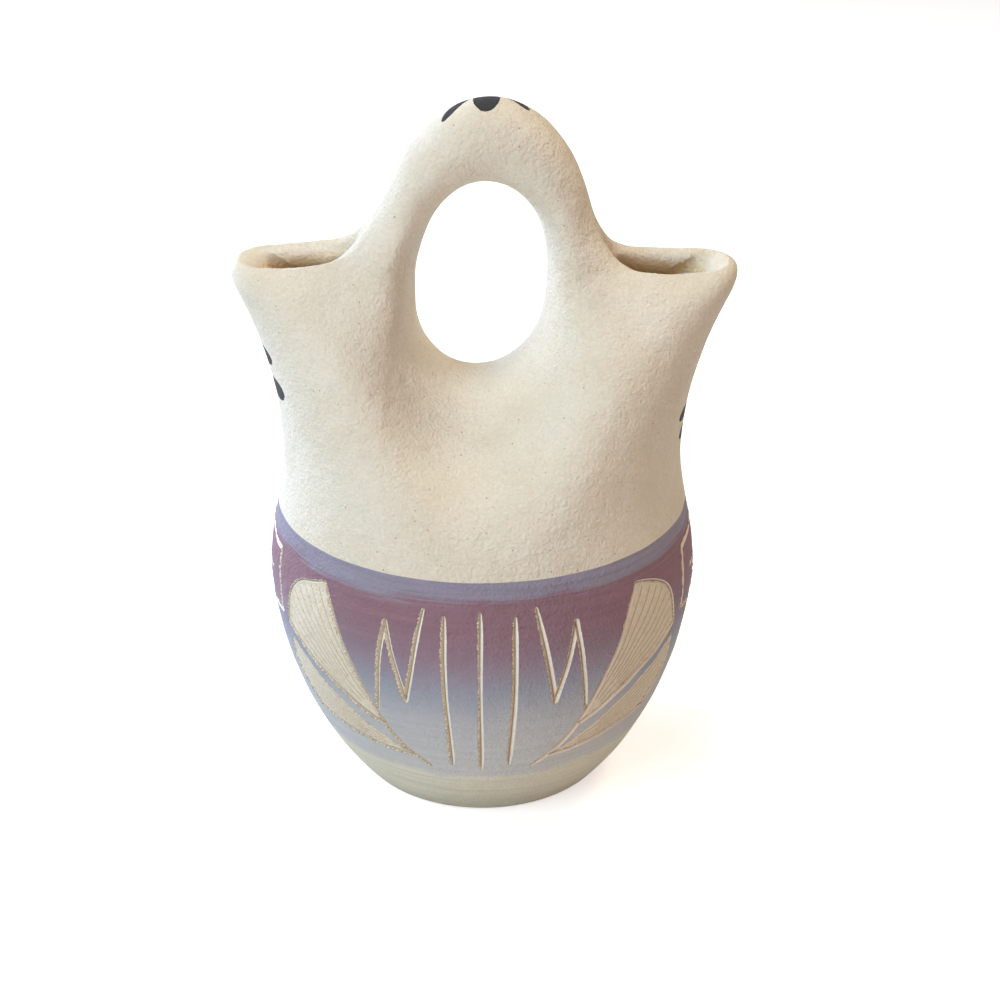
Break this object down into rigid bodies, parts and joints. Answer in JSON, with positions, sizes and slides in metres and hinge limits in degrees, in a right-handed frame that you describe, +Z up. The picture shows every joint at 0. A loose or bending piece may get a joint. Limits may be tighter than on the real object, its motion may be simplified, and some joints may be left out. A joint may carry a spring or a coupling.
{
  "type": "wedding vase",
  "caption": "Hand-built clay vase with a round bowl that forks into spouts joined by an arched handle, slipped and etched band on the bowl.",
  "frame": {"origin": "middle of the flat foot, on the surface the vase stands on", "axes": "+Z up; +X towards the right spout seen from the front; the front faces -Y"},
  "size_m": [0.1393, 0.1236, 0.2],
  "materials": {
    "pale_clay": "matt unglazed, smoothed by hand",
    "slipped_clay": "matt coloured slip, lavender to plum to grey, etched through to the pale clay",
    "foot_clay": "matt unglazed clay with a thin pale olive wash"
  },
  "bodies": {
    "root": {"base_disc": "foot_clay", "bowl": "slipped_clay", "shoulder": "pale_clay", "left_spout": "pale_clay", "right_spout": "pale_clay", "handle": "pale_clay"}
  },
  "joints": []
}
